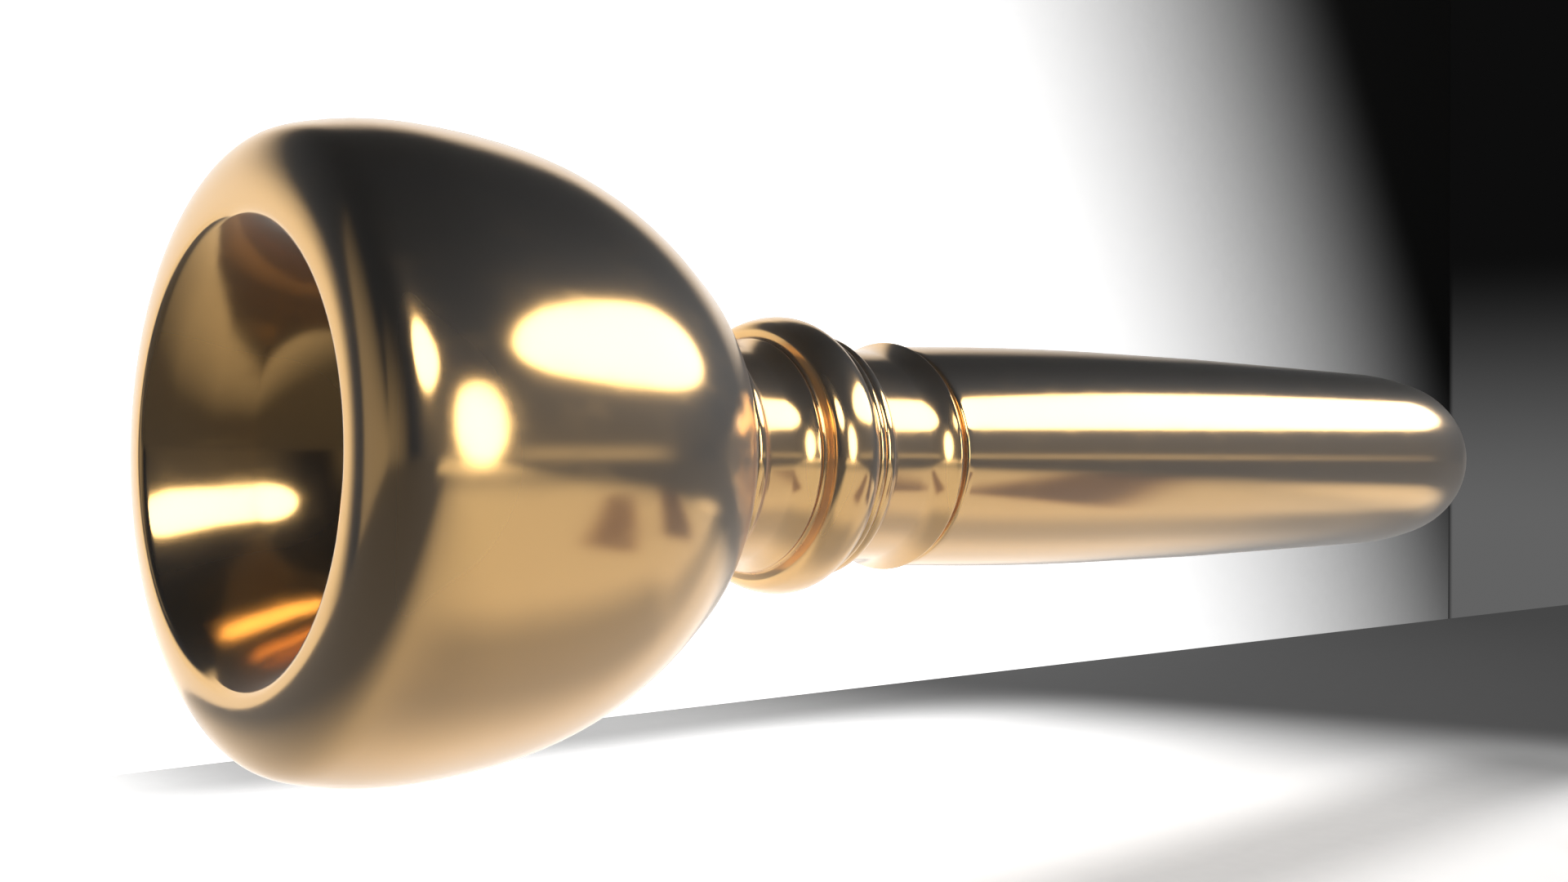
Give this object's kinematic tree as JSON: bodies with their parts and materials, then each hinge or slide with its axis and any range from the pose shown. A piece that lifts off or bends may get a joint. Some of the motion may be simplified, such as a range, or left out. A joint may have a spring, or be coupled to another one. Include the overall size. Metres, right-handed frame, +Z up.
{
  "type": "brass mouthpiece",
  "caption": "Trumpet mouthpiece in polished brass: a rounded cup with a screw-on rim, a turned neck with bands and a bead, and a long tapered shank that screws into the cup.",
  "frame": {"origin": "on the bore's axis, in the plane where the lips meet the rim", "axes": "+X along the bore from the rim to the shank's tip, +Z up; the part is round about X"},
  "size_m": [0.0852, 0.0258, 0.0258],
  "materials": {
    "brass": "polished",
    "seal_rubber": "matt"
  },
  "bodies": {
    "shank": {"shank": "brass", "spacer_ring": "brass", "ferrule": "brass"},
    "collar": {"bead_collar": "brass", "shank_seal": "seal_rubber"},
    "cup": {"cup": "brass", "neck_ring": "brass"},
    "rim_seal": {"rim_seal": "seal_rubber"},
    "rim": {"rim": "brass"}
  },
  "joints": [
    {"name": "cup_lift", "type": "slide", "parent": "shank", "child": "collar", "axis": [-1, 0, 0], "range_m": [0, 0.006]},
    {"name": "cup_turn", "type": "hinge", "parent": "collar", "child": "cup", "pos_m": [0.021, 0, 0], "axis": [-1, 0, 0], "range_deg": [0, 2160]},
    {"name": "rim_lift", "type": "slide", "parent": "cup", "child": "rim_seal", "axis": [-1, 0, 0], "range_m": [0, 0.003]},
    {"name": "rim_turn", "type": "hinge", "parent": "rim_seal", "child": "rim", "pos_m": [0.0032, 0, 0], "axis": [-1, 0, 0], "range_deg": [0, 1080]}
  ],
  "couplings": [
    {"joint": "cup_lift", "follows": "cup_turn", "m_per_rad": 0.00015915},
    {"joint": "rim_lift", "follows": "rim_turn", "m_per_rad": 0.00015915}
  ]
}
